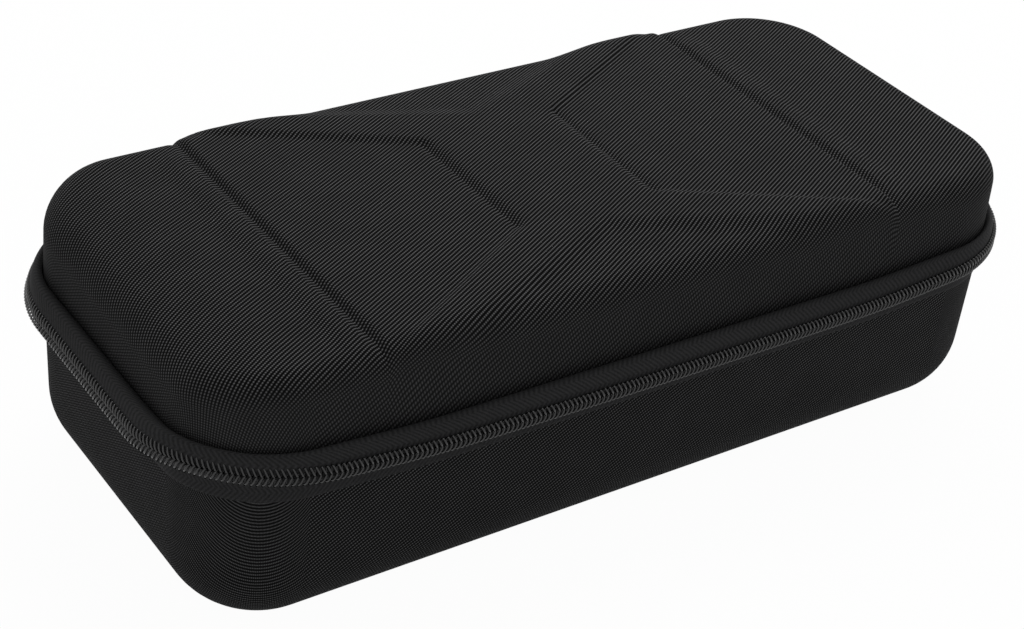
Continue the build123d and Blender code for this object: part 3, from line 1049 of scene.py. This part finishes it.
def grained_material(name, roughness, specular, size, detail, valley, crest, depth):
    """Material whose whole pattern is one grain of a real size."""
    material, tree, shader = new_material(name, roughness, specular)
    place = add_node(tree, "ShaderNodeTexCoord")
    grain = add_node(
        tree, "ShaderNodeTexNoise", {"Vector": place.outputs["Object"], "Scale": 1 / size, "Detail": detail}
    )
    apply_pattern(tree, shader, grain.outputs["Fac"], valley, crest, depth)
    return material


def twill_material():
    """Polyester twill laminated on moulded foam: fine slanting ribs of short floats, dull black, with
    painted shade in the near-black valleys between them.
    """
    rib_spacing = 1.19 * mm
    # Drawn coarser than the cloth's own floats, which at about 0.7 mm are too fine to show
    float_spacing = 0.82 * mm
    rib_slant = math.radians(28.5)
    patch_size = 9 * mm
    drawn_ground = 0.055
    # Levels for no float and a whole one, for a dull patch and a bright one, and for flat and drawn cloth.
    # The drawn levels also dim upright walls as painted shade.
    float_levels = (0.1, 1.0)
    patch_levels = (0.8, 1.2)
    rib_powers = (3.5, 1.1)
    rib_levels_and_wall_shade = (1.0, 0.4)
    material, tree, shader = new_material("polyester twill, moulded", roughness=0.7, specular=0.012)
    weave = add_node(tree, "ShaderNodeUVMap", uv_map="weave")
    turned = add_node(
        tree, "ShaderNodeMapping", {"Vector": weave.outputs[0], "Rotation": (0, 0, -rib_slant)}
    )
    ribs, floats = [
        add_node(
            tree,
            "ShaderNodeTexWave",
            {"Vector": turned.outputs[0], "Scale": wave_unit / spacing, "Distortion": 0.3, "Detail": 2.0},
            bands_direction=direction,
        ).outputs["Fac"]
        for spacing, direction in ((rib_spacing, "Y"), (float_spacing, "X"))
    ]
    place = add_node(tree, "ShaderNodeTexCoord")
    patches = add_node(
        tree,
        "ShaderNodeTexNoise",
        {"Vector": place.outputs["Object"], "Scale": 1 / patch_size, "Detail": 3.0},
    ).outputs["Fac"]
    # The drawn amount also sets painted shade: upright walls come out darker than the top.
    drawn = add_node(tree, "ShaderNodeAttribute", attribute_name="drawn").outputs["Fac"]
    broken, uneven, sharpness, thinned_and_shaded = [
        add_node(
            tree, "ShaderNodeMath", {0: driver, 1: end - start, 2: start}, operation="MULTIPLY_ADD"
        ).outputs[0]
        for driver, (start, end) in (
            (floats, float_levels),
            (patches, patch_levels),
            (drawn, rib_powers),
            (drawn, rib_levels_and_wall_shade),
        )
    ]
    raised = add_node(tree, "ShaderNodeMath", {0: ribs, 1: sharpness}, operation="POWER").outputs[0]
    for share in (broken, uneven):
        raised = add_node(tree, "ShaderNodeMath", {0: raised, 1: share}, operation="MULTIPLY").outputs[0]
    ground = add_node(tree, "ShaderNodeMath", {0: drawn, 1: drawn_ground}, operation="MULTIPLY")
    faded_and_shaded = add_node(
        tree, "ShaderNodeMath", {0: raised, 1: thinned_and_shaded, 2: ground.outputs[0]}, operation="MULTIPLY_ADD"
    )
    # The near-black valleys between the ribs are painted shade, which the bump cannot cast.
    apply_pattern(tree, shader, faded_and_shaded.outputs[0], valley=0x030303, crest=0x717172, depth=0.12 * mm)
    return material


def lining_material():
    """Brushed tricot lining: short dark-grey nap, soft and without gloss."""
    return grained_material(
        "brushed tricot lining",
        roughness=0.9,
        specular=0.1,
        size=0.5 * mm,
        detail=5.0,
        valley=0x121214,
        crest=0x444448,
        depth=0.2 * mm,
    )


def herringbone_material():
    """Woven polyester zip tape: columns of slanting threads that turn into chevrons, matt black."""
    column = 3.3 * mm
    thread_spacing = 1.3 * mm
    thread_slant = math.radians(42)
    fuzz_size = 0.5 * mm
    fuzz_share = 0.65
    material, tree, shader = new_material(
        "polyester tape, herringbone weave", roughness=0.75, specular=0.06
    )
    weave = add_node(tree, "ShaderNodeUVMap", uv_map="weave")
    split = add_node(tree, "ShaderNodeSeparateXYZ", {0: weave.outputs[0]})
    fold = add_node(tree, "ShaderNodeMath", {0: split.outputs["Y"], 1: column}, operation="PINGPONG")
    chevron = add_node(tree, "ShaderNodeCombineXYZ", {0: split.outputs["X"], 1: fold.outputs[0]})
    slanted = add_node(
        tree, "ShaderNodeMapping", {"Vector": chevron.outputs[0], "Rotation": (0, 0, thread_slant)}
    )
    threads = add_node(
        tree,
        "ShaderNodeTexWave",
        {"Vector": slanted.outputs[0], "Scale": wave_unit / thread_spacing},
        bands_direction="X",
    )
    place = add_node(tree, "ShaderNodeTexCoord")
    fuzz = add_node(
        tree,
        "ShaderNodeTexNoise",
        {"Vector": place.outputs["Object"], "Scale": 1 / fuzz_size, "Detail": 3.0},
    )
    worn = add_node(
        tree,
        "ShaderNodeMix",
        {0: fuzz_share, 2: threads.outputs["Fac"], 3: fuzz.outputs["Fac"]},
        data_type="FLOAT",
    )
    apply_pattern(tree, shader, worn.outputs[0], valley=0x0E0E0E, crest=0x3D3D3E, depth=0.1 * mm)
    return material


def nylon_material():
    """Nylon monofilament: smooth drawn wire, black with a bright gloss along its bends."""
    return grained_material(
        "nylon monofilament, drawn",
        roughness=0.22,
        specular=0.5,
        size=3 * mm,
        detail=2.0,
        valley=0x080808,
        crest=0x161617,
        depth=0.02 * mm,
    )


def ribbed_material(name, spacing, direction, depth):
    """Narrow woven tape with straight ribs: across grosgrain, along an elastic over its rubber threads."""
    material, tree, shader = new_material(name, roughness=0.72, specular=0.2)
    weave = add_node(tree, "ShaderNodeUVMap", uv_map="weave")
    ribs = add_node(
        tree,
        "ShaderNodeTexWave",
        {"Vector": weave.outputs[0], "Scale": wave_unit / spacing},
        bands_direction=direction,
    )
    apply_pattern(tree, shader, ribs.outputs["Fac"], valley=0x0A0A0B, crest=0x303032, depth=depth)
    return material


def webbing_material():
    """Polyester webbing: thick yarns in a plain weave, with straight lines along its length."""
    warp_spacing = 1.5 * mm
    weft_spacing = 1.0 * mm
    material, tree, shader = new_material("polyester webbing, plain weave", roughness=0.7, specular=0.2)
    weave = add_node(tree, "ShaderNodeUVMap", uv_map="weave")
    warp, weft = [
        add_node(
            tree,
            "ShaderNodeTexWave",
            {"Vector": weave.outputs[0], "Scale": wave_unit / spacing},
            bands_direction=direction,
        ).outputs["Fac"]
        for spacing, direction in ((warp_spacing, "Y"), (weft_spacing, "X"))
    ]
    yarns = add_node(tree, "ShaderNodeMath", {0: warp, 1: weft}, operation="MULTIPLY")
    apply_pattern(tree, shader, yarns.outputs[0], valley=0x0C0C0D, crest=0x404043, depth=0.3 * mm)
    return material


def fibre_material(name, size, roughness, valley, crest, depth):
    """Massed fibres: the loops or hooks of a fastening, or the twist of a yarn, as a fine grain."""
    return grained_material(
        name,
        roughness,
        specular=0.25,
        size=size,
        detail=4.0,
        valley=valley,
        crest=crest,
        depth=depth,
    )


def painted_zinc_material():
    """Die-cast zinc, stove-enamelled black: smooth and fairly glossy, with faint orange peel."""
    return grained_material(
        "zinc die casting, black enamel",
        roughness=0.28,
        specular=0.5,
        size=0.8 * mm,
        detail=2.0,
        valley=0x0C0C0D,
        crest=0x1E1E1F,
        depth=0.02 * mm,
    )


def background_rays(tree):
    """1 for rays that meet the white background: the camera's own, and those off gloss or through glass."""
    path = add_node(tree, "ShaderNodeLightPath")
    seen = path.outputs["Is Camera Ray"]
    for kind in ("Is Glossy Ray", "Is Transmission Ray"):
        both = add_node(tree, "ShaderNodeMath", {0: seen, 1: path.outputs[kind]}, operation="ADD")
        seen = both.outputs[0]
    return seen


def floor_material():
    """Matt white paper sweep, shown paler to the camera than it lights the case, with a trace of shadow."""
    shown_share = 0.97
    material, tree, shader = new_material("paper sweep, matt", roughness=0.9, specular=0.0)
    shader.inputs["Base Color"].default_value = linear(0xEEEEEE)
    glow = add_node(tree, "ShaderNodeEmission", {"Color": linear(0xFFFFFF), "Strength": 1.0})
    share = add_node(
        tree, "ShaderNodeMath", {0: background_rays(tree), 1: shown_share}, operation="MULTIPLY"
    )
    blended = add_node(
        tree, "ShaderNodeMixShader", {0: share.outputs[0], 1: shader.outputs[0], 2: glow.outputs[0]}
    )
    tree.links.new(blended.outputs[0], tree.nodes["Material Output"].inputs["Surface"])
    return material


# Stage


def floor():
    """Pale floor under the case."""
    reach = 12.0
    mesh = bpy.data.meshes.new("floor")
    corners = [(-reach, -reach, 0), (reach, -reach, 0), (reach, reach, 0), (-reach, reach, 0)]
    mesh.from_pydata(corners, [], [(0, 1, 2, 3)])
    new_piece("floor", mesh, floor_material())


def lights():
    """Soft studio light: an even world and one large lamp above the back of the case."""
    world_strength = 0.45
    scene = bpy.context.scene
    scene.view_settings.view_transform = "Standard"
    scene.world = bpy.data.worlds.new("studio")
    scene.world.use_nodes = True
    tree = scene.world.node_tree
    strength = add_node(
        tree,
        "ShaderNodeMath",
        {0: background_rays(tree), 1: 1 - world_strength, 2: world_strength},
        operation="MULTIPLY_ADD",
    )
    background = tree.nodes["Background"]
    background.inputs["Color"].default_value = linear(0xFFFFFF)
    tree.links.new(strength.outputs[0], background.inputs["Strength"])
    lamp = bpy.data.lights.new("key", "AREA")
    lamp.shape = "RECTANGLE"
    lamp.size = 1.2
    lamp.size_y = 0.9
    lamp.energy = 12.5
    holder = bpy.data.objects.new("key", lamp)
    scene.collection.objects.link(holder)
    holder.location = (0.45, 0.5, 1.15)
    aim = Vector((0, 0, zip_height)) - holder.location
    holder.rotation_euler = aim.to_track_quat("-Z", "Y").to_euler()


def camera():
    """Camera at the photograph's angle, a little rolled, aimed just off the middle of the case."""
    azimuth = math.radians(-37.04)
    elevation = math.radians(33.4)
    roll = math.radians(6.22)
    distance = 727.8 * mm
    aim_right = -6.18 * mm
    aim_up = -6.22 * mm
    aim_height = 45 * mm
    focal_pixels = 2208.35
    image_width = 1024
    sensor_width = 36.0
    level_share = math.cos(elevation)
    back = Vector(
        (math.sin(azimuth) * level_share, -math.cos(azimuth) * level_share, math.sin(elevation))
    )
    level = Vector((0, 0, 1)).cross(back).normalized()
    upright = back.cross(level)
    right = math.cos(roll) * level + math.sin(roll) * upright
    up = math.cos(roll) * upright - math.sin(roll) * level
    lens = bpy.data.cameras.new("camera")
    lens.sensor_fit = "HORIZONTAL"
    lens.sensor_width = sensor_width
    lens.lens = sensor_width * focal_pixels / image_width
    lens.clip_start = 0.01
    lens.clip_end = 50
    holder = bpy.data.objects.new("camera", lens)
    bpy.context.scene.collection.objects.link(holder)
    target = aim_right * right + aim_up * up + Vector((0, 0, aim_height))
    turn = Matrix((right, up, back)).transposed().to_4x4()
    holder.matrix_world = Matrix.Translation(target + back * distance) @ turn
    bpy.context.scene.camera = holder


twill = twill_material()
lining = lining_material()
herringbone = herringbone_material()
nylon = nylon_material()
grosgrain = ribbed_material("polyester grosgrain, ribbed", 0.9 * mm, "X", 0.2 * mm)
elastic = ribbed_material("polyester elastic, knitted", 1.2 * mm, "Y", 0.25 * mm)
webbing = webbing_material()
loop_pile = fibre_material("nylon loop pile, brushed", 0.7 * mm, 0.85, 0x0C0C0D, 0x3C3C3F, 0.4 * mm)
hook_nylon = fibre_material("nylon hooks, moulded", 1.2 * mm, 0.6, 0x0A0A0B, 0x2E2E30, 0.3 * mm)
net_yarn = fibre_material("polyester net yarn, knitted", 0.6 * mm, 0.6, 0x0E0E0F, 0x38383B, 0.1 * mm)
thread = fibre_material("bonded polyester thread, twisted", 0.6 * mm, 0.5, 0x101011, 0x3E3E41, 0.1 * mm)
painted_zinc = painted_zinc_material()

lid_shell()
base_shell()
zip_tapes()
zip_coils()
hinge_strip()
bindings()
zip_metal()
console_cradle()
straps()
stitches()
lid_pocket()
floor()
lights()
camera()
